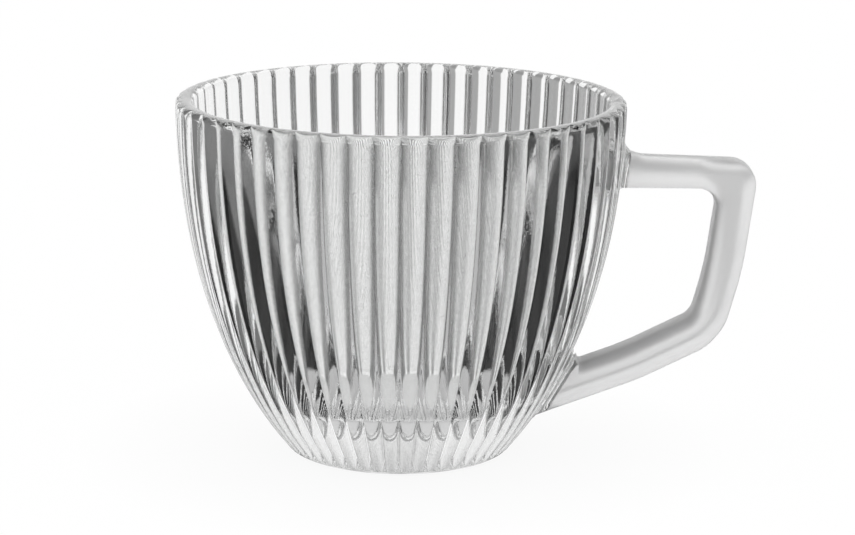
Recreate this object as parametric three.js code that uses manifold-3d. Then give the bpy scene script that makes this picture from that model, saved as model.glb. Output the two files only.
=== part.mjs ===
// A ribbed cup of clear pressed glass with a frosted, angular handle.
// Millimetres, +Z up. The origin is on the cup's axis, on the plane that the cup stands on.
// The handle points along +X.
import * as THREE from "three";
import { mergeVertices } from "three/addons/utils/BufferGeometryUtils.js";
import Module from "manifold-3d";

// Outside of the bowl, measured over the crests of the ribs.
const RIM_DIAMETER = 95;
const CUP_HEIGHT = 76;
const FOOT_DIAMETER = 43.8; // the flat ring and disc that stand on the table
const FOOT_EDGE_ROUND = 3;
const FOOT_LEAN_DEG = 39.8; // how far the wall leans out where it leaves the foot
const RIM_LEAN_DEG = 1.1;
const FOOT_PULL = 21.4; // how long the wall keeps each of those two leans
const RIM_PULL = 33.5;

// Inside of the bowl.
const RIM_WALL = 3.8;
const LIP_HEIGHT = 1.4; // how high the lip's flattened round stands on the wall
const BASE_THICKNESS = 10;
const FLOOR_DIAMETER = 26; // the flat middle of the floor
const FLOOR_PULL = 19.1;
const INNER_PULL = 39.6;
const INNER_LEAN_DEG = 3.3;

// Ribs: round-backed reeds with a narrow valley between them.
const RIB_COUNT = 54;
const RIB_DEPTH = 1.4; // crest to valley at the rim, in step with the ribs' width lower down
const RIB_FACETS = 4; // flat faces across one rib
const RIM_SCALLOP = 0.8; // what is left of the ribs where the lip starts to turn over
const RIB_HEAD = 3; // height over which a rib's upper end dies out under the lip
const RIB_TAIL = 2.4; // height over which its lower end dies out above the foot

// Handle: a bar of even width, seen from the side as two arms and an upright grip.
const HANDLE_WIDTH = 9.5;
const HANDLE_EDGE_ROUND = 2.5;
const GRIP_REACH = 28.4; // from the rim's radius out to the sharp outer corner of the grip
const GRIP_THICKNESS = 7.9; // along X, at the upper corner
const UPPER_ARM_TOP = 63; // height of the sharp outer corner
const UPPER_ARM_THICKNESS = 5.8;
const UPPER_ARM_RISE = 1.1; // how much thicker the upper arm is at the wall
const GRIP_LEAN_DEG = 7.4; // above and below its slight bend
const GRIP_LOWER_LEAN_DEG = 15.2;
const GRIP_BEND_HEIGHT = 39.4;
const LOWER_CORNER_HEIGHT = 24.1;
const LOWER_ARM_THICKNESS = 7.8;
const LOWER_ARM_SLOPE_DEG = 26.5; // outside and inside its slight bend
const LOWER_ARM_ROOT_SLOPE_DEG = 20.3;
const LOWER_ARM_BEND_LENGTH = 19.5; // along the arm, from the outer corner to the bend
const OUTER_CORNER_ROUND = 4.5;
const INNER_CORNER_ROUND = 3.8;
const LOWER_OUTER_CORNER_ROUND = 8;
const LOWER_INNER_CORNER_ROUND = 4;
const BEND_ROUND = 60;

// Collars: clear glass between the wall and the frosted arms, filleted on to the wall.
const COLLAR_LENGTH = 1.5;
const COLLAR_FILLET = 1.7;
const JOINT_GAP = 0.3; // left between neighbouring pieces

// How finely curves are cut into flat faces.
const FOOT_BANDS = 2;
const WALL_BANDS = 8;
const LIP_BANDS = 4;
const INNER_BANDS = 6;
const HANDLE_CORNER_FACES = 6;
const HANDLE_EDGE_FACES = 3;
const COLLAR_CORNER_FACES = 4;
const COLLAR_BANDS = 4;
const SAME_POINT = 1e-4; // vertices closer than this are one

const FULL_TURN = Math.PI * 2;
const rimRadius = RIM_DIAMETER / 2;
const footRadius = FOOT_DIAMETER / 2;
const lipHalfWidth = RIM_WALL / 2;
const lipBase = CUP_HEIGHT - LIP_HEIGHT;

const wasm = await Module();
wasm.setup();

// A direction in the plane of a profile, leaning out from upright by an angle in degrees.
function leaning(degrees) {
  const angle = THREE.MathUtils.degToRad(degrees);
  return new THREE.Vector2(Math.sin(angle), Math.cos(angle));
}

// A profile row: a point in radius and height, its outward normal, and how deep the ribs are there.
function profileRow(point, normal, ribDepth) {
  return { point, normal, ribDepth };
}

// The outer wall's curve, from the rounded edge of the foot up to the lip.
const footLean = leaning(FOOT_LEAN_DEG);
const wallFoot = new THREE.Vector2(
  footRadius + FOOT_EDGE_ROUND * footLean.y,
  FOOT_EDGE_ROUND * (1 - footLean.x),
);
const wallRim = new THREE.Vector2(rimRadius, lipBase);
const outerWall = new THREE.CubicBezierCurve(
  wallFoot,
  wallFoot.clone().addScaledVector(footLean, FOOT_PULL),
  wallRim.clone().addScaledVector(leaning(RIM_LEAN_DEG), -RIM_PULL),
  wallRim,
);

function outwardNormal(tangent) {
  return new THREE.Vector2(tangent.y, -tangent.x);
}

// Rows up the outside: the foot's rounded edge, then the wall, with extra rows where the ribs die out.
function outerRows() {
  const rows = [profileRow(new THREE.Vector2(0, 0), new THREE.Vector2(0, -1), 0)];
  const footTurn = Math.PI / 2 - THREE.MathUtils.degToRad(FOOT_LEAN_DEG);
  for (let band = 0; band < FOOT_BANDS; band++) {
    const angle = (footTurn * band) / FOOT_BANDS;
    const normal = new THREE.Vector2(Math.sin(angle), -Math.cos(angle));
    const centre = new THREE.Vector2(footRadius, FOOT_EDGE_ROUND);
    rows.push(profileRow(centre.addScaledVector(normal, FOOT_EDGE_ROUND), normal, 0));
  }
  const length = outerWall.getLength();
  const places = [0, RIB_TAIL / 2, RIB_TAIL];
  for (let band = 1; band < WALL_BANDS; band++) {
    places.push(RIB_TAIL + ((length - RIB_HEAD - RIB_TAIL) * band) / WALL_BANDS);
  }
  places.push(length - RIB_HEAD, length - RIB_HEAD / 2, length - RIB_HEAD / 6, length);
  for (const place of places) {
    const point = outerWall.getPointAt(place / length);
    const normal = outwardNormal(outerWall.getTangentAt(place / length));
    const full = (RIB_DEPTH * point.x) / rimRadius;
    const tail = THREE.MathUtils.clamp(place / RIB_TAIL, 0, 1);
    const head = THREE.MathUtils.clamp((length - place) / RIB_HEAD, 0, 1);
    const rounded = Math.sqrt(1 - (1 - tail) ** 2);
    const domed = Math.sqrt(1 - (1 - head) ** 2);
    const least = RIM_SCALLOP * rounded;
    rows.push(profileRow(point, normal, least + (full * rounded - least) * domed));
  }
  return rows;
}

// Rows over the rounded lip, down the inner wall and across the floor to the axis.
function innerRows() {
  const rows = [];
  const lipCentre = new THREE.Vector2(rimRadius - lipHalfWidth, lipBase);
  for (let band = 1; band < LIP_BANDS; band++) {
    const angle = (Math.PI * band) / LIP_BANDS;
    const across = Math.cos(angle);
    const up = Math.sin(angle);
    const point = new THREE.Vector2(lipHalfWidth * across, LIP_HEIGHT * up).add(lipCentre);
    const scallop = RIM_SCALLOP * Math.max(0, across) ** 2;
    rows.push(profileRow(point, new THREE.Vector2(across, up), scallop));
  }
  const innerRim = new THREE.Vector2(rimRadius - RIM_WALL, lipBase);
  const floorEdge = new THREE.Vector2(FLOOR_DIAMETER / 2, BASE_THICKNESS);
  const innerWall = new THREE.CubicBezierCurve(
    innerRim,
    innerRim.clone().addScaledVector(leaning(INNER_LEAN_DEG), -INNER_PULL),
    new THREE.Vector2(floorEdge.x + FLOOR_PULL, floorEdge.y),
    floorEdge,
  );
  for (let band = 0; band <= INNER_BANDS; band++) {
    const share = band / INNER_BANDS;
    const normal = outwardNormal(innerWall.getTangentAt(share)).negate();
    rows.push(profileRow(innerWall.getPointAt(share), normal, 0));
  }
  rows.push(profileRow(new THREE.Vector2(0, BASE_THICKNESS), new THREE.Vector2(0, 1), 0));
  return rows;
}

// How far a rib's round back has dropped, 0 at its crest and 1 in the valley, at a share of its half width.
function ribDrop(share) {
  const halfPitch = (Math.PI * rimRadius) / RIB_COUNT;
  const sagitta = RIB_DEPTH / halfPitch;
  const backRadius = (1 + sagitta * sagitta) / (2 * sagitta);
  return (backRadius - Math.sqrt(backRadius * backRadius - share * share)) / sagitta;
}

// Turns rows into a solid of revolution about Z and presses the ribs' valleys into it.
// A valley faces -Y, which puts a crest behind each root of the handle.
function ribbedTurning(rows) {
  const points = rows.map((row) => row.point);
  const steps = RIB_COUNT * RIB_FACETS;
  const geometry = new THREE.LatheGeometry(points, steps);
  const position = geometry.getAttribute("position");
  for (let step = 0; step <= steps; step++) {
    const phase = (step / RIB_FACETS) % 1;
    const drop = ribDrop(Math.abs(2 * phase - 1));
    const turn = (FULL_TURN * step) / steps;
    rows.forEach((row, index) => {
      const radius = row.point.x - row.normal.x * row.ribDepth * drop;
      const height = row.point.y - row.normal.y * row.ribDepth * drop;
      const vertex = step * rows.length + index;
      position.setXYZ(vertex, radius * Math.sin(turn), height, radius * Math.cos(turn));
    });
  }
  return geometry.rotateX(Math.PI / 2);
}

// A closed mesh as a solid that can be cut, and back again.
function toSolid(geometry) {
  const bare = geometry.clone();
  bare.deleteAttribute("normal");
  bare.deleteAttribute("uv");
  const merged = mergeVertices(bare, SAME_POINT);
  return new wasm.Manifold(
    new wasm.Mesh({
      numProp: 3,
      vertProperties: new Float32Array(merged.getAttribute("position").array),
      triVerts: new Uint32Array(merged.index.array),
    }),
  );
}

function toGeometry(solid) {
  const mesh = solid.getMesh();
  const geometry = new THREE.BufferGeometry();
  geometry.setAttribute("position", new THREE.BufferAttribute(mesh.vertProperties, 3));
  geometry.setIndex(new THREE.BufferAttribute(mesh.triVerts, 1));
  geometry.computeVertexNormals();
  return geometry;
}

// The bowl's outside as a filled solid, swollen by a distance, with its ribs or smooth over their crests.
function wallSolid(swell, ribbed) {
  const rows = outerRows().map(({ point, normal, ribDepth }) => {
    const swollen = point.clone().addScaledVector(normal, swell);
    return profileRow(swollen, normal, ribbed ? ribDepth : 0);
  });
  const lid = new THREE.Vector2(0, lipBase + swell);
  rows.push(profileRow(lid, new THREE.Vector2(0, 1), 0));
  return toSolid(ribbedTurning(rows));
}

// The handle's side view. Each corner is a point in X and Z with the radius that rounds it.
const outerGripX = rimRadius + GRIP_REACH;
const gripLean = leaning(GRIP_LEAN_DEG);
const gripLowerLean = leaning(GRIP_LOWER_LEAN_DEG);
const gripSlope = gripLean.x / gripLean.y;
const gripLowerSlope = gripLowerLean.x / gripLowerLean.y;
const armDirection = leaning(90 - LOWER_ARM_SLOPE_DEG);
const rootDirection = leaning(90 - LOWER_ARM_ROOT_SLOPE_DEG);

function corner(x, z, round) {
  return { point: new THREE.Vector2(x, z), round };
}

// Where the lines through two points, along two directions, cross.
function crossing(first, along, second, across) {
  const apart = second.clone().sub(first);
  const reach = apart.cross(across) / along.cross(across);
  return first.clone().addScaledVector(along, reach);
}

// Both arms run on inside the bowl, where the wall cuts them off.
function handleOutline() {
  const bendX = outerGripX - (UPPER_ARM_TOP - GRIP_BEND_HEIGHT) * gripSlope;
  const lowerX = bendX - (GRIP_BEND_HEIGHT - LOWER_CORNER_HEIGHT) * gripLowerSlope;
  const lowerOuter = new THREE.Vector2(lowerX, LOWER_CORNER_HEIGHT);
  const armBend = lowerOuter.clone().addScaledVector(armDirection, -LOWER_ARM_BEND_LENGTH);
  const intoBowl = armBend.x - footRadius / 2;
  const armEnd = armBend.clone().addScaledVector(rootDirection, -intoBowl / rootDirection.x);
  const acrossArm = new THREE.Vector2(-armDirection.y, armDirection.x);
  const acrossRoot = new THREE.Vector2(-rootDirection.y, rootDirection.x);
  const gripInside = new THREE.Vector2(bendX - GRIP_THICKNESS, GRIP_BEND_HEIGHT);
  const armInside = lowerOuter.clone().addScaledVector(acrossArm, LOWER_ARM_THICKNESS);
  const lowerInner = crossing(gripInside, gripLowerLean, armInside, armDirection);
  const rootInside = armEnd.clone().addScaledVector(acrossRoot, LOWER_ARM_THICKNESS);
  const innerBend = crossing(armInside, armDirection, rootInside, rootDirection);
  const upperArmBottom = UPPER_ARM_TOP - UPPER_ARM_THICKNESS;
  const innerX = gripInside.x + (upperArmBottom - GRIP_BEND_HEIGHT) * gripSlope;
  const corners = [
    corner(footRadius, UPPER_ARM_TOP + UPPER_ARM_RISE, 0),
    corner(outerGripX, UPPER_ARM_TOP, OUTER_CORNER_ROUND),
    corner(bendX, GRIP_BEND_HEIGHT, BEND_ROUND),
    corner(lowerOuter.x, lowerOuter.y, LOWER_OUTER_CORNER_ROUND),
    corner(armBend.x, armBend.y, BEND_ROUND),
    corner(armEnd.x, armEnd.y, 0),
    corner(rootInside.x, rootInside.y, 0),
    corner(innerBend.x, innerBend.y, BEND_ROUND),
    corner(lowerInner.x, lowerInner.y, LOWER_INNER_CORNER_ROUND),
    corner(gripInside.x, gripInside.y, BEND_ROUND),
    corner(innerX, upperArmBottom, INNER_CORNER_ROUND),
    corner(footRadius, upperArmBottom, 0),
  ];
  return { corners, lowerArmEnd: armEnd.add(rootInside).multiplyScalar(0.5) };
}

// A closed shape through the corners, with an even curve round each rounded one.
function roundedShape(corners) {
  const shape = new THREE.Shape();
  corners.forEach(({ point, round }, index) => {
    const before = corners.at(index - 1).point.clone().sub(point).normalize();
    const after = corners[(index + 1) % corners.length].point.clone().sub(point).normalize();
    const halfAngle = Math.acos(THREE.MathUtils.clamp(before.dot(after), -1, 1)) / 2;
    const cut = round / Math.tan(halfAngle);
    const start = point.clone().addScaledVector(before, cut);
    const end = point.clone().addScaledVector(after, cut);
    if (index === 0) {
      shape.moveTo(start.x, start.y);
    } else {
      shape.lineTo(start.x, start.y);
    }
    if (round > 0) {
      shape.quadraticCurveTo(point.x, point.y, end.x, end.y);
    }
  });
  shape.closePath();
  return shape;
}

// The whole handle as a bar, still running on into the bowl at both ends.
function handleBar() {
  const geometry = new THREE.ExtrudeGeometry(roundedShape(handleOutline().corners), {
    depth: HANDLE_WIDTH - 2 * HANDLE_EDGE_ROUND,
    curveSegments: HANDLE_CORNER_FACES,
    bevelEnabled: true,
    bevelThickness: HANDLE_EDGE_ROUND,
    bevelSize: HANDLE_EDGE_ROUND,
    bevelOffset: -HANDLE_EDGE_ROUND,
    bevelSegments: HANDLE_EDGE_FACES,
  });
  geometry.translate(0, 0, HANDLE_EDGE_ROUND - HANDLE_WIDTH / 2);
  return geometry.rotateX(Math.PI / 2);
}

// Where an arm's centre line meets the wall: the place, the arm's direction out and the wall's normal.
function armRoot(centre, direction, thickness) {
  const samples = 400;
  let best = null;
  for (let sample = 0; sample <= samples; sample++) {
    const share = sample / samples;
    const point = outerWall.getPointAt(share);
    const away = Math.abs(point.clone().sub(centre).cross(direction));
    if (!best || away < best.away) {
      best = { away, point, normal: outwardNormal(outerWall.getTangentAt(share)) };
    }
  }
  return { place: best.point, normal: best.normal, direction, thickness };
}

function upperRoot() {
  const armLength = outerGripX - footRadius;
  const rise = (UPPER_ARM_RISE * GRIP_REACH) / armLength;
  const thickness = UPPER_ARM_THICKNESS + rise;
  const centre = new THREE.Vector2(rimRadius, UPPER_ARM_TOP + rise - thickness / 2);
  const direction = new THREE.Vector2(armLength, -UPPER_ARM_RISE / 2).normalize();
  return armRoot(centre, direction, thickness);
}

function lowerRoot() {
  return armRoot(handleOutline().lowerArmEnd, rootDirection, LOWER_ARM_THICKNESS);
}

// A point in the plane of the handle, as a place in the cup's frame.
function inHandlePlane(point) {
  return new THREE.Vector3(point.x, 0, point.y);
}

// A ring round an arm, in a plane parallel to the wall: a rounded rectangle grown by the fillet.
function armRing(root, distance, growth) {
  const facing = root.direction.dot(root.normal);
  const centre = root.place.clone().addScaledVector(root.direction, distance / facing);
  const upWall = new THREE.Vector2(-root.normal.y, root.normal.x);
  const halfTall = root.thickness / facing / 2 + growth;
  const halfWide = HANDLE_WIDTH / 2 + growth;
  const round = HANDLE_EDGE_ROUND + growth;
  const outline = new THREE.Shape();
  outline.absarc(halfTall - round, halfWide - round, round, 0, Math.PI / 2);
  outline.absarc(round - halfTall, halfWide - round, round, Math.PI / 2, Math.PI);
  outline.absarc(round - halfTall, round - halfWide, round, Math.PI, Math.PI * 1.5);
  outline.absarc(halfTall - round, round - halfWide, round, Math.PI * 1.5, FULL_TURN);
  outline.closePath();
  const points = outline.getPoints(COLLAR_CORNER_FACES).slice(0, -1);
  return points.map((point) => {
    const place = inHandlePlane(centre.clone().addScaledVector(upWall, point.x));
    place.y = -point.y;
    return place;
  });
}

// A closed skin over a row of rings, with a flat end at each side.
function loft(rings) {
  const count = rings[0].length;
  const vertices = rings.flat();
  const faces = [];
  for (let ring = 0; ring + 1 < rings.length; ring++) {
    for (let side = 0; side < count; side++) {
      const near = ring * count + side;
      const next = ring * count + ((side + 1) % count);
      faces.push(near, next, next + count, near, next + count, near + count);
    }
  }
  const last = (rings.length - 1) * count;
  for (let side = 1; side + 1 < count; side++) {
    faces.push(0, side + 1, side);
    faces.push(last, last + side, last + side + 1);
  }
  const geometry = new THREE.BufferGeometry().setFromPoints(vertices);
  geometry.setIndex(faces);
  return geometry;
}

// A collar: rings that swell from the arm's own section into a fillet against the wall.
function collar(root) {
  const rings = [armRing(root, -RIB_DEPTH - COLLAR_FILLET, COLLAR_FILLET)];
  for (let band = 0; band <= COLLAR_BANDS; band++) {
    const share = band / COLLAR_BANDS;
    const growth = COLLAR_FILLET * (1 - Math.sqrt(1 - (1 - share) ** 2));
    rings.push(armRing(root, JOINT_GAP + COLLAR_FILLET * share, growth));
  }
  rings.push(armRing(root, JOINT_GAP + COLLAR_FILLET + COLLAR_LENGTH, 0));
  const outerFace = wallSolid(JOINT_GAP + COLLAR_LENGTH, false);
  const seat = wallSolid(JOINT_GAP, true);
  return toGeometry(toSolid(loft(rings)).intersect(outerFace).subtract(seat));
}

// The handle ends where the collars do, a gap further out.
function handle() {
  const endFaces = wallSolid(COLLAR_LENGTH + 2 * JOINT_GAP, false);
  return toGeometry(toSolid(handleBar()).subtract(endFaces));
}

const clearGlass = { color: 0xe9eeec, roughness: 0.03, metalness: 0, transparent: true, opacity: 0.35 };
const frostedGlass = { color: 0xe6e7e7, roughness: 0.6, metalness: 0, transparent: true, opacity: 0.8 };

function piece(name, geometry, finish) {
  const mesh = new THREE.Mesh(geometry, new THREE.MeshStandardMaterial(finish));
  mesh.name = name;
  return mesh;
}

const cup = new THREE.Group();
cup.add(piece("bowl", ribbedTurning([...outerRows(), ...innerRows()]), clearGlass));
cup.add(piece("upper_collar", collar(upperRoot()), clearGlass));
cup.add(piece("lower_collar", collar(lowerRoot()), clearGlass));
cup.add(piece("handle", handle(), frostedGlass));

export default cup;
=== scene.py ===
import math

import bmesh
import bpy
import numpy as np
from mathutils import Matrix, Vector


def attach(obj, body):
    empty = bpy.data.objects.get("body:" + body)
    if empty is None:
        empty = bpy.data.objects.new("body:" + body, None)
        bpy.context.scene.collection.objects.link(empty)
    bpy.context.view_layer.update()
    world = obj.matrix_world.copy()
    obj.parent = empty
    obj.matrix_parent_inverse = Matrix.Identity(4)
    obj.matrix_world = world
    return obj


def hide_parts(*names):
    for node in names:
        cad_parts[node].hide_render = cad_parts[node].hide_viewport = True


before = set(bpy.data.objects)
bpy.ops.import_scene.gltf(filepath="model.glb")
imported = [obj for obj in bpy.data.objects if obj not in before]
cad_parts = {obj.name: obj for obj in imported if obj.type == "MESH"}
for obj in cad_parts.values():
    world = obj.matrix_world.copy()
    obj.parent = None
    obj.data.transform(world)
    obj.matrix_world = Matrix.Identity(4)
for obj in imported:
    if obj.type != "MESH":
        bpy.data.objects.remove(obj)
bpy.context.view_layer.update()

# BOWL
# One gather of clear glass, pressed in a ribbed mould: round-backed reeds run up the outside from a smooth
# foot to a fire-polished lip. The plunger leaves the inside smooth, over a thick base.
rim_radius = 0.0475
cup_height = 0.076
foot_radius = 0.0219  # of the flat that the cup stands on
foot_edge_round = 0.003
foot_lean = 39.8  # degrees from upright where the wall leaves the foot
rim_lean = 1.1
foot_pull = 0.0214  # how far each end of the wall's curve is drawn along its lean
rim_pull = 0.0335
rim_wall = 0.0038
lip_height = 0.0014
lip_squareness = 2.4  # 2 is a plain ellipse
base_thickness = 0.010
floor_radius = 0.013
floor_pull = 0.0191
inner_pull = 0.0396
inner_lean = 3.3
rib_count = 54
rib_depth = 0.0020
rib_head = 0.0015  # height over which a rib's upper end flattens towards the lip
rib_tail = 0.0024
rim_scallop = 0.0014
valley_round = 0.01  # share of a rib's half width that the mould rounds off in the valley

foot_rows = 4
foot_edge_rows = 6
tail_rows = 8
wall_rows = 42
head_rows = 14
head_crowding = 1.5  # above 1, the rows stand closer towards the lip
lip_rows = 15
inner_rows = 40
floor_rows = 5
rib_columns = 12
column_crowding = 0.5  # above 0, the columns stand closer towards the valleys
curve_points = 1000
merge_distance = 1e-6


def leaning(degrees):
    """A direction in radius and height that leans out from upright."""
    return np.array([math.sin(math.radians(degrees)), math.cos(math.radians(degrees))])


def sweep(start, start_pull, end_pull, end):
    """A curve between two points, drawn fine, with the pull that each end gives it."""
    share = np.linspace(0, 1, curve_points)[:, None]
    back = 1 - share
    return (back**3 * start + 3 * back**2 * share * (start + start_pull)
            + 3 * back * share**2 * (end + end_pull) + share**3 * end)


def stations(curve, places):
    """Points of a fine curve at lengths from its start, and the directions square to it, to its right."""
    lengths = np.append(0, np.cumsum(np.linalg.norm(np.diff(curve, axis=0), axis=1)))
    along = np.gradient(curve, axis=0)
    along /= np.linalg.norm(along, axis=1)[:, None]
    square = np.column_stack((along[:, 1], -along[:, 0]))
    points = np.column_stack([np.interp(places, lengths, curve[:, axis]) for axis in (0, 1)])
    facing = np.column_stack([np.interp(places, lengths, square[:, axis]) for axis in (0, 1)])
    return points, facing


def length_of(curve):
    return np.linalg.norm(np.diff(curve, axis=0), axis=1).sum()


# Each row of the profile is a point in radius and height and the push that a valley gives it there.
unpressed = np.zeros(2)
profile = []
for radius in np.linspace(0, foot_radius, foot_rows, endpoint=False):
    profile.append((np.array([radius, 0.0]), unpressed))

foot_turn = math.pi / 2 - math.radians(foot_lean)
for row in range(foot_edge_rows):
    turn = foot_turn * row / foot_edge_rows
    facing = np.array([math.sin(turn), -math.cos(turn)])
    profile.append((np.array([foot_radius, foot_edge_round]) + foot_edge_round * facing, unpressed))

wall_foot = np.array([foot_radius, foot_edge_round])
wall_foot += foot_edge_round * np.array([leaning(foot_lean)[1], -leaning(foot_lean)[0]])
lip_half_width = rim_wall / 2
lip_base = cup_height - lip_height
outer_wall = sweep(wall_foot, foot_pull * leaning(foot_lean), -rim_pull * leaning(rim_lean),
                   np.array([rim_radius, lip_base]))
wall_length = length_of(outer_wall)
wall_places = np.concatenate((
    np.linspace(0, rib_tail, tail_rows, endpoint=False),
    np.linspace(rib_tail, wall_length - rib_head, wall_rows, endpoint=False),
    wall_length - rib_head * (1 - np.linspace(0, 1, head_rows + 1)) ** head_crowding,
))
for place, point, facing in zip(wall_places, *stations(outer_wall, wall_places)):
    tail = math.sqrt(1 - (1 - min(1, place / rib_tail)) ** 2)
    head = math.sqrt(1 - (1 - min(1, (wall_length - place) / rib_head)) ** 2)
    least = rim_scallop * tail
    depth = least + (rib_depth * point[0] / rim_radius * tail - least) * head
    profile.append((point, -depth * facing))

for row in range(1, lip_rows + 1):
    turn = math.pi * row / (lip_rows + 1)
    wide = math.copysign(abs(math.cos(turn)) ** (2 / lip_squareness), math.cos(turn))
    high = math.sin(turn) ** (2 / lip_squareness)
    scallop = rim_scallop * max(0, math.cos(turn)) ** 2
    point = np.array([rim_radius - lip_half_width * (1 - wide), lip_base + lip_height * high])
    profile.append((point, np.array([-scallop, 0])))

inner_wall = sweep(np.array([rim_radius - rim_wall, lip_base]), -inner_pull * leaning(inner_lean),
                   np.array([floor_pull, 0]), np.array([floor_radius, base_thickness]))
inner_places = np.linspace(0, length_of(inner_wall), inner_rows + 1)
for point in stations(inner_wall, inner_places)[0]:
    profile.append((point, unpressed))
for radius in np.linspace(floor_radius, 0, floor_rows + 1)[1:]:
    profile.append((np.array([radius, base_thickness]), unpressed))

# The profile is swung through one rib, whose round back is pressed into it, and the rib is repeated.
rib_turn = 2 * math.pi / rib_count
half_rib = math.pi * rim_radius / rib_count
rib_sagitta = rib_depth / half_rib
back_radius = (1 + rib_sagitta**2) / (2 * rib_sagitta)


def back_drop(share):
    """How far a round back has dropped at a share of its half width, 1 at its edge."""
    return (back_radius - math.sqrt(back_radius**2 - share**2)) / rib_sagitta


def rib_drop(share):
    """The same drop for a rib whose valley is a little rounded."""
    start = 1 - valley_round
    if share <= start:
        return back_drop(share)
    slope = start / math.sqrt(back_radius**2 - start**2) / rib_sagitta
    past = share - start
    return back_drop(start) + slope * past - slope * past**2 / (2 * valley_round)


bowl_bm = bmesh.new()
push = bowl_bm.verts.layers.float_vector.new("push")
previous = None
for point, pushed in profile:
    vertex = bowl_bm.verts.new((0, -point[0], point[1]))
    vertex[push] = (pushed[0], 0, pushed[1])
    if previous:
        bowl_bm.edges.new((previous, vertex))
    previous = vertex
bmesh.ops.spin(bowl_bm, geom=bowl_bm.verts[:] + bowl_bm.edges[:], cent=(0, 0, 0), axis=(0, 0, 1),
               angle=rib_turn, steps=rib_columns, use_duplicate=False)
for vertex in bowl_bm.verts:
    radius = math.hypot(vertex.co.x, vertex.co.y)
    if radius == 0:
        continue
    across = 2 * math.atan2(vertex.co.x, -vertex.co.y) / rib_turn - 1
    across = (1 - column_crowding) * across + column_crowding * math.sin(math.pi / 2 * across)
    turn = rib_turn * (across + 1) / 2
    drop = rib_drop(min(1, abs(across)))
    radius += vertex[push].x * drop
    vertex.co = (radius * math.sin(turn), -radius * math.cos(turn), vertex.co.z + vertex[push].z * drop)
bmesh.ops.spin(bowl_bm, geom=bowl_bm.verts[:] + bowl_bm.edges[:] + bowl_bm.faces[:], cent=(0, 0, 0),
               axis=(0, 0, 1), angle=rib_turn * (rib_count - 1), steps=rib_count - 1, use_duplicate=True)
bmesh.ops.remove_doubles(bowl_bm, verts=bowl_bm.verts, dist=merge_distance)
bmesh.ops.recalc_face_normals(bowl_bm, faces=bowl_bm.faces)
bowl_bm.verts.layers.float_vector.remove(push)


def object_from(bm, name):
    """A smooth-shaded object at the origin from a finished mesh."""
    mesh = bpy.data.meshes.new(name)
    bm.to_mesh(mesh)
    bm.free()
    mesh.shade_smooth()
    made = bpy.data.objects.new(name, mesh)
    bpy.context.scene.collection.objects.link(made)
    return made


bowl = object_from(bowl_bm, "bowl_glass")
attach(bowl, "root")
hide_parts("bowl")


def set_inputs(tree, node, **values):
    """Sets or links some of a node's sockets, by name."""
    for name, value in values.items():
        socket = node.inputs[name.replace("_", " ")]
        if isinstance(value, bpy.types.NodeSocket):
            tree.links.new(value, socket)
        else:
            socket.default_value = value


def add_node(tree, kind, **values):
    """A new node with some of its sockets set or linked, by name."""
    made = tree.nodes.new(kind)
    set_inputs(tree, made, **values)
    return made


def mapped(tree, value, start, end, first, last):
    """A value turned into a slope between two levels, each a number or a socket."""
    slope = add_node(tree, "ShaderNodeMapRange", Value=value, From_Min=start, From_Max=end,
                     To_Min=first, To_Max=last)
    return slope.outputs["Result"]


# Pressed glass keeps a slow wave and a fine grain from the mould's skin.
press_marks = bpy.data.node_groups.new("press_marks", "ShaderNodeTree")
for name in ("Wave Scale", "Grain Scale", "Grain Share"):
    press_marks.interface.new_socket(name=name, in_out="INPUT", socket_type="NodeSocketFloat")
for name in ("Height", "Grain"):
    press_marks.interface.new_socket(name=name, in_out="OUTPUT", socket_type="NodeSocketFloat")
marks_in = press_marks.nodes.new("NodeGroupInput")
marks_place = press_marks.nodes.new("ShaderNodeTexCoord")
marks_wave = add_node(press_marks, "ShaderNodeTexNoise", Vector=marks_place.outputs["Object"],
                      Scale=marks_in.outputs["Wave Scale"], Detail=1.0)
marks_grain = add_node(press_marks, "ShaderNodeTexNoise", Vector=marks_place.outputs["Object"],
                       Scale=marks_in.outputs["Grain Scale"], Detail=2.0)
marks_mix = add_node(press_marks, "ShaderNodeMix", Factor=marks_in.outputs["Grain Share"],
                     A=marks_wave.outputs["Fac"], B=marks_grain.outputs["Fac"])
add_node(press_marks, "NodeGroupOutput", Height=marks_mix.outputs["Result"],
         Grain=marks_grain.outputs["Fac"])

glass_ior = 1.52
grain_range = (0.3, 0.7)  # grain that gives the smoothest and the roughest glass


def glass(name, clearness, colour, roughness, bump, wave_scale, grain_scale, grain_share):
    """A glass whose roughness and skin follow the press marks."""
    material = bpy.data.materials.new(name)
    material.use_nodes = True
    tree = material.node_tree
    marks = tree.nodes.new("ShaderNodeGroup")
    marks.node_tree = press_marks
    set_inputs(tree, marks, Wave_Scale=wave_scale, Grain_Scale=grain_scale, Grain_Share=grain_share)
    skin = add_node(tree, "ShaderNodeBump", Height=marks.outputs["Height"], Distance=bump)
    set_inputs(tree, tree.nodes["Principled BSDF"], Base_Color=(*colour, 1), Transmission_Weight=clearness,
               IOR=glass_ior, Roughness=mapped(tree, marks.outputs["Grain"], *grain_range, *roughness),
               Normal=skin.outputs["Normal"])
    return material


clear_glass = glass("clear_glass", clearness=1.0, colour=(0.985, 0.988, 0.986), roughness=(0.0, 0.05),
                    bump=0.00003, wave_scale=160, grain_scale=2500, grain_share=0.2)
bowl.data.materials.append(clear_glass)

# COLLARS
# Where the handle was set on, hot clear glass was drawn up round the end of each arm in a small fillet.
# It is one with the wall, so the two collars are united with the bowl and stand for their CAD solids.
handle_width = 0.0095
handle_edge_round = 0.0028
collar_length = 0.0013
collar_side_fillet = 0.0014
collar_sink = 0.0004  # how far below the crests the fillet runs out
collar_depth = 0.0028  # how far its root reaches into the wall
collar_rings = 9
collar_corner_steps = 6
bowl_sharp_angle = 35  # degrees between faces, past which the glass shows an edge


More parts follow.
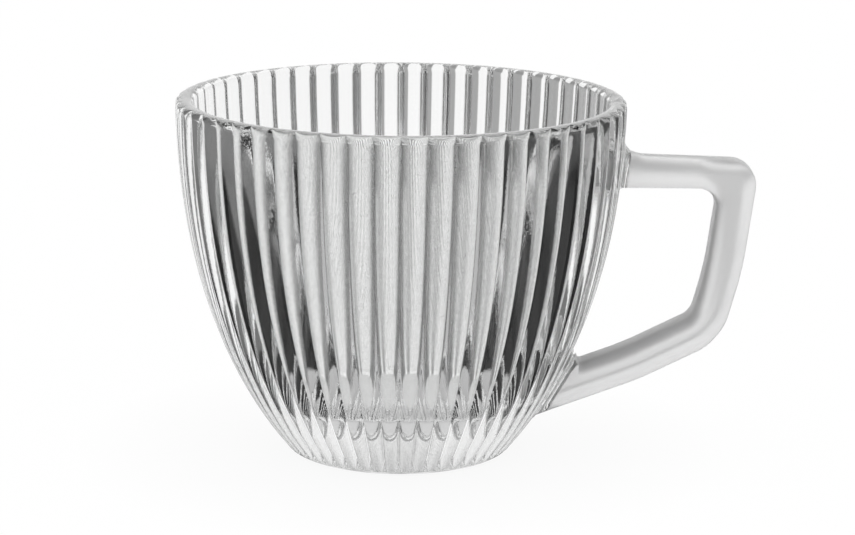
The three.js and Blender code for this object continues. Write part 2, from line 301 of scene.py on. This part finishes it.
def fillet_growth(radius, angle, distance):
    """How far a fillet stands out beyond an arm's edge, at a distance from the wall that the arm meets."""
    if distance >= radius * (1 + math.cos(angle)):
        return 0.0
    run_out = radius / math.tan(angle / 2)
    return run_out - math.sqrt(radius**2 - (radius - distance) ** 2) - distance / math.tan(angle)


def collar(name, place, wall_facing, arm_direction, arm_thickness, top_fillet, bottom_fillet):
    """A stub with the arm's section that swells into a fillet against the wall."""
    facing = arm_direction.dot(wall_facing)
    up_wall = Vector((-wall_facing.z, 0, wall_facing.x))
    climb = arm_direction.dot(up_wall) / facing
    top_angle = math.atan2(1, climb)
    arm_height = arm_thickness / facing
    bm = bmesh.new()
    bmesh.ops.create_grid(bm, x_segments=1, y_segments=1, size=0.5)
    bmesh.ops.scale(bm, vec=(handle_width, arm_height, 1), verts=bm.verts)
    bmesh.ops.bevel(bm, geom=bm.verts[:], offset=handle_edge_round, offset_type="OFFSET",
                    segments=collar_corner_steps, profile=0.5, affect="VERTICES", material=-1)
    face = next(iter(bm.faces))
    ring_wide, ring_high, ring_middle, ring_distance = handle_width, arm_height, 0.0, 0.0
    for step in range(-1, collar_rings + 1):
        share = max(0, step) / collar_rings
        rise = (collar_length + collar_sink) * share**2
        distance = rise - (collar_sink if step >= 0 else collar_depth)
        above = fillet_growth(top_fillet, top_angle, rise)
        below = fillet_growth(bottom_fillet, math.pi - top_angle, rise)
        beside = fillet_growth(collar_side_fillet, math.pi / 2, rise)
        wide = handle_width + 2 * beside
        high = arm_height + above + below
        middle = climb * distance + (above - below) / 2
        if step >= 0:
            made = bmesh.ops.extrude_face_region(bm, geom=[face])["geom"]
            if step > 0:
                bmesh.ops.delete(bm, geom=[face], context="FACES_ONLY")
            face = next(part for part in made if isinstance(part, bmesh.types.BMFace))
        bmesh.ops.scale(bm, vec=(wide / ring_wide, high / ring_high, 1), verts=face.verts,
                        space=Matrix.Translation((0, -ring_middle, -ring_distance)))
        bmesh.ops.translate(bm, vec=(0, middle - ring_middle, distance - ring_distance), verts=face.verts)
        ring_wide, ring_high, ring_middle, ring_distance = wide, high, middle, distance
    upright = Matrix((Vector((0, -1, 0)), up_wall, wall_facing)).transposed().to_4x4()
    upright.translation = place
    bmesh.ops.transform(bm, matrix=upright, verts=bm.verts)
    bmesh.ops.recalc_face_normals(bm, faces=bm.faces)
    return object_from(bm, name)


collar_stubs = (
    collar("upper_collar_stub", place=Vector((0.046728, 0, 0.060391)),
           wall_facing=Vector((0.99541, 0, -0.09568)), arm_direction=Vector((0.99995, 0, -0.01018)),
           arm_thickness=0.006379, top_fillet=0.0045, bottom_fillet=0.0012),
    collar("lower_collar_stub", place=Vector((0.032296, 0, 0.012557)),
           wall_facing=Vector((0.86061, 0, -0.50926)), arm_direction=Vector((0.93789, 0, 0.34694)),
           arm_thickness=0.0078, top_fillet=0.0017, bottom_fillet=0.0012),
)
for stub in collar_stubs:
    weld = bowl.modifiers.new("weld", "BOOLEAN")
    weld.operation = "UNION"
    weld.solver = "MANIFOLD"
    weld.object = stub
welded = bpy.data.meshes.new_from_object(bowl.evaluated_get(bpy.context.evaluated_depsgraph_get()))
bowl.modifiers.clear()
welded.set_sharp_from_angle(angle=math.radians(bowl_sharp_angle))
bowl.data = welded
for stub in collar_stubs:
    bpy.data.objects.remove(stub)
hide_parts("upper_collar", "lower_collar")

# HANDLE
# A bar of the same glass, pressed with two arms and an upright grip, and etched all over to a fine frost.
# Its ends are let into the clear collars.
handle_corners = (  # X and Z of each corner of the side view, its rounding, and which root it belongs to
    (0.04810, 0.06469, 0, 1),
    (0.05050, 0.06385, 0.006, 0),
    (0.07590, 0.06308, 0.0055, 0),
    (0.07284, 0.03940, 0.06, 0),
    (0.06868, 0.02410, 0.012, 0),
    (0.05123, 0.01540, 0.06, 0),
    (0.03080, 0.00785, 0, 2),
    (0.03761, 0.01936, 0, 2),
    (0.03865, 0.01906, 0.0017, 0),
    (0.04812, 0.02257, 0.06, 0),
    (0.06228, 0.02963, 0.004, 0),
    (0.06494, 0.03940, 0.06, 0),
    (0.06725, 0.05720, 0.0038, 0),
    (0.04738, 0.05720, 0, 1),
)
handle_corner_steps = 10
handle_edge_steps = 7
handle_sharp_angle = 50

handle_bm = bmesh.new()
root = handle_bm.verts.layers.int.new("root")
corners = []
for x, z, rounding, root_number in handle_corners:
    vertex = handle_bm.verts.new((x, -handle_width / 2, z))
    vertex[root] = root_number
    corners.append((vertex, vertex.co.copy(), rounding))
handle_bm.faces.new([vertex for vertex, here, rounding in corners])
for index, (vertex, here, rounding) in enumerate(corners):
    if not rounding:
        continue
    before = corners[index - 1][1] - here
    after = corners[(index + 1) % len(corners)][1] - here
    cut = rounding / math.tan(before.angle(after) / 2)
    bmesh.ops.bevel(handle_bm, geom=[vertex], offset=cut, offset_type="OFFSET",
                    segments=handle_corner_steps, profile=0.5, affect="VERTICES", material=-1)
made = bmesh.ops.extrude_face_region(handle_bm, geom=handle_bm.faces[:])["geom"]
bmesh.ops.translate(handle_bm, vec=(0, handle_width, 0),
                    verts=[part for part in made if isinstance(part, bmesh.types.BMVert)])
bmesh.ops.recalc_face_normals(handle_bm, faces=handle_bm.faces)
outline_edges = []
for edge in handle_bm.edges:
    one, other = edge.verts
    at_root = one[root] and one[root] == other[root]
    if one.co.y * other.co.y > 0 and not at_root:
        outline_edges.append(edge)
bmesh.ops.bevel(handle_bm, geom=outline_edges, offset=handle_edge_round, offset_type="OFFSET",
                segments=handle_edge_steps, profile=0.5, affect="EDGES", material=-1)
handle_bm.verts.layers.int.remove(root)
handle = object_from(handle_bm, "handle_frosted")
handle.data.set_sharp_from_angle(angle=math.radians(handle_sharp_angle))
even_shading = handle.modifiers.new("even_shading", "WEIGHTED_NORMAL")
even_shading.keep_sharp = True
frosted_glass = glass("frosted_glass", clearness=0.76, colour=(0.99, 0.99, 0.99), roughness=(0.3, 0.38),
                      bump=0.00004, wave_scale=200, grain_scale=4000, grain_share=0.6)
handle.data.materials.append(frosted_glass)
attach(handle, "root")
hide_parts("handle")

# STUDIO
# The cup stands on a plain white table before a white wall, in dimmer light from the front. For the glass,
# the wall's light is dark at both sides, like dark cloths out of the picture, and the same darkness is
# painted on the table's glow: clear glass on white needs it, to draw its ribs in dark lines.
table_radius = 3.0
table_sides = 96
table_drop = 0.00005  # below the foot, so that the two don't share a plane
table_bm = bmesh.new()
bmesh.ops.create_circle(table_bm, cap_ends=True, radius=table_radius, segments=table_sides)
bmesh.ops.translate(table_bm, vec=(0, 0, -table_drop), verts=table_bm.verts)
table = object_from(table_bm, "table")

plain_level = 1.0  # of the light that the camera sees and that frost and paint gather


def worked(tree, operation, one, other):
    """Two values put through one step of arithmetic."""
    made = tree.nodes.new("ShaderNodeMath")
    made.operation = operation
    tree.links.new(one, made.inputs[0])
    tree.links.new(other, made.inputs[1])
    return made.outputs[0]


def light_round(tree, place, levels):
    """The light at each bearing from the cup, in degrees from straight behind towards the handle."""
    bearing = worked(tree, "ARCTAN2", place.outputs["X"], place.outputs["Y"])
    ramp = add_node(tree, "ShaderNodeValToRGB", Fac=mapped(tree, bearing, -math.pi, math.pi, 0.0, 1.0))
    stops = ramp.color_ramp.elements
    while len(stops) < len(levels):
        stops.new(0.5)
    for stop, (degrees, level) in zip(stops, levels):
        stop.position = (degrees + 180) / 360
        stop.color = (level, level, level, 1)
    return ramp.outputs["Color"]


def seen_by_glass(tree, glass_level):
    """A level of light for what glass mirrors and bends, and plain light for everything else."""
    rays = tree.nodes.new("ShaderNodeLightPath")
    to_glass = worked(tree, "MAXIMUM", rays.outputs["Is Glossy Ray"], rays.outputs["Is Transmission Ray"])
    return mapped(tree, to_glass, 0.0, 1.0, plain_level, glass_level)


# The table glows evenly, with a painted shade close under the cup for every ray. For the glass alone,
# darkness is painted on its glow at both sides, in place of dark cloths, and a painted shade under the
# foot.
# Painted shade under the foot: the glass sees the table's glow dimmed there.
painted_shade_under_foot = 0.7
under_foot_edge = (0.0215, 0.0235)  # radii between which one light gives way to the next one outwards
near_table_edge = (0.23, 0.25)
shade_reach = 0.04
shade_samples = 8
deepest_shade = 0.93
glow_share = 0.99
table_white = bpy.data.materials.new("table_white")
table_white.use_nodes = True
tree = table_white.node_tree
paint = tree.nodes["Principled BSDF"]
set_inputs(tree, paint, Base_Color=(0.95, 0.95, 0.95, 1), Roughness=0.9, Specular_IOR_Level=0)
table_coordinates = tree.nodes.new("ShaderNodeTexCoord")
table_place = add_node(tree, "ShaderNodeSeparateXYZ", Vector=table_coordinates.outputs["Object"])
# Painted darkness: as the glass sees it, the table's glow is dark at both sides, where dark cloths would
# stand.
near_table = light_round(tree, table_place, (
    (-180, 0.5), (-126, 0.5), (-124, 0.0), (-81, 0.0), (-79, 0.15), (-58, 0.15), (-56, 1.0), (11, 1.0),
    (13, 0.3), (31, 0.3), (33, 1.0), (49, 1.0), (51, 0.15), (70, 0.15), (72, 0.0), (124, 0.0),
    (126, 0.5), (180, 0.5)))
far_table = light_round(tree, table_place, (
    (-180, 0.2), (-58, 0.2), (-56, 1.0), (12, 1.0), (14, 0.4), (45, 0.4), (47, 0.05), (124, 0.05),
    (126, 0.2), (180, 0.2)))
away = add_node(tree, "ShaderNodeVectorMath", Vector=table_coordinates.outputs["Object"])
away.operation = "LENGTH"
painted_table_light = mapped(tree, away.outputs["Value"], *near_table_edge, near_table, far_table)
painted_table_light = mapped(tree, away.outputs["Value"], *under_foot_edge, painted_shade_under_foot, painted_table_light)
# Painted contact shade: for every ray, the table's glow is dimmed where the cup stands close over it.
nearness = add_node(tree, "ShaderNodeAmbientOcclusion", Distance=shade_reach)
nearness.samples = shade_samples
shade = mapped(tree, nearness.outputs["AO"], 0.0, 1.0, deepest_shade, 1.0)
table_level = worked(tree, "MULTIPLY", seen_by_glass(tree, painted_table_light), shade)
glow = add_node(tree, "ShaderNodeEmission", Strength=table_level)
table_mix = tree.nodes.new("ShaderNodeMixShader")
table_mix.inputs[0].default_value = glow_share
tree.links.new(paint.outputs[0], table_mix.inputs[1])
tree.links.new(glow.outputs[0], table_mix.inputs[2])
tree.links.new(table_mix.outputs[0], tree.nodes["Material Output"].inputs["Surface"])
table.data.materials.append(table_white)

# The wall stands all round, under a ceiling that is a little grey.
ceiling_level = 0.6
ceiling_edge = (math.sin(math.radians(50)), math.sin(math.radians(60)))
world = bpy.data.worlds.new("studio")
world.use_nodes = True
bpy.context.scene.world = world
tree = world.node_tree
direction = tree.nodes.new("ShaderNodeTexCoord")
wall_place = add_node(tree, "ShaderNodeSeparateXYZ", Vector=direction.outputs["Generated"])
round_wall = light_round(tree, wall_place, (
    (-180, 0.5), (-141, 0.5), (-139, 0.2), (-66, 0.2), (-64, 0.1), (-39, 0.1), (-37, 1.0), (36, 1.0),
    (38, 0.0), (139, 0.0), (141, 0.5), (180, 0.5)))
wall_light = mapped(tree, wall_place.outputs["Z"], *ceiling_edge, round_wall, ceiling_level)
set_inputs(tree, tree.nodes["Background"], Color=(1, 1, 1, 1), Strength=seen_by_glass(tree, wall_light))

# CAMERA
# A long lens stands a little above the rim, almost square to the handle, as the photograph was taken.
image_width = 855
focal_pixels = 2858
camera_place = (0, -0.59375, 0.1774)
yaw, pitch, roll = 0.0099, 0.2288, 0.0095
light_bounces = 24
lens = bpy.data.cameras.new("camera")
lens.sensor_width = 36
lens.lens = focal_pixels * lens.sensor_width / image_width
camera = bpy.data.objects.new("camera", lens)
bpy.context.scene.collection.objects.link(camera)
ahead = Vector((math.sin(yaw) * math.cos(pitch), math.cos(yaw) * math.cos(pitch), -math.sin(pitch)))
right = Vector((math.cos(yaw), -math.sin(yaw), 0))
up = right.cross(ahead)
rolled_right = right * math.cos(roll) + up * math.sin(roll)
rolled_up = up * math.cos(roll) - right * math.sin(roll)
stand = Matrix((rolled_right, rolled_up, -ahead)).transposed().to_4x4()
stand.translation = camera_place
camera.matrix_world = stand
bpy.context.scene.camera = camera
bpy.context.scene.view_settings.view_transform = "Standard"
bpy.context.scene.cycles.max_bounces = light_bounces
bpy.context.scene.cycles.transmission_bounces = light_bounces
bpy.context.scene.cycles.glossy_bounces = light_bounces

bpy.context.view_layer.update()
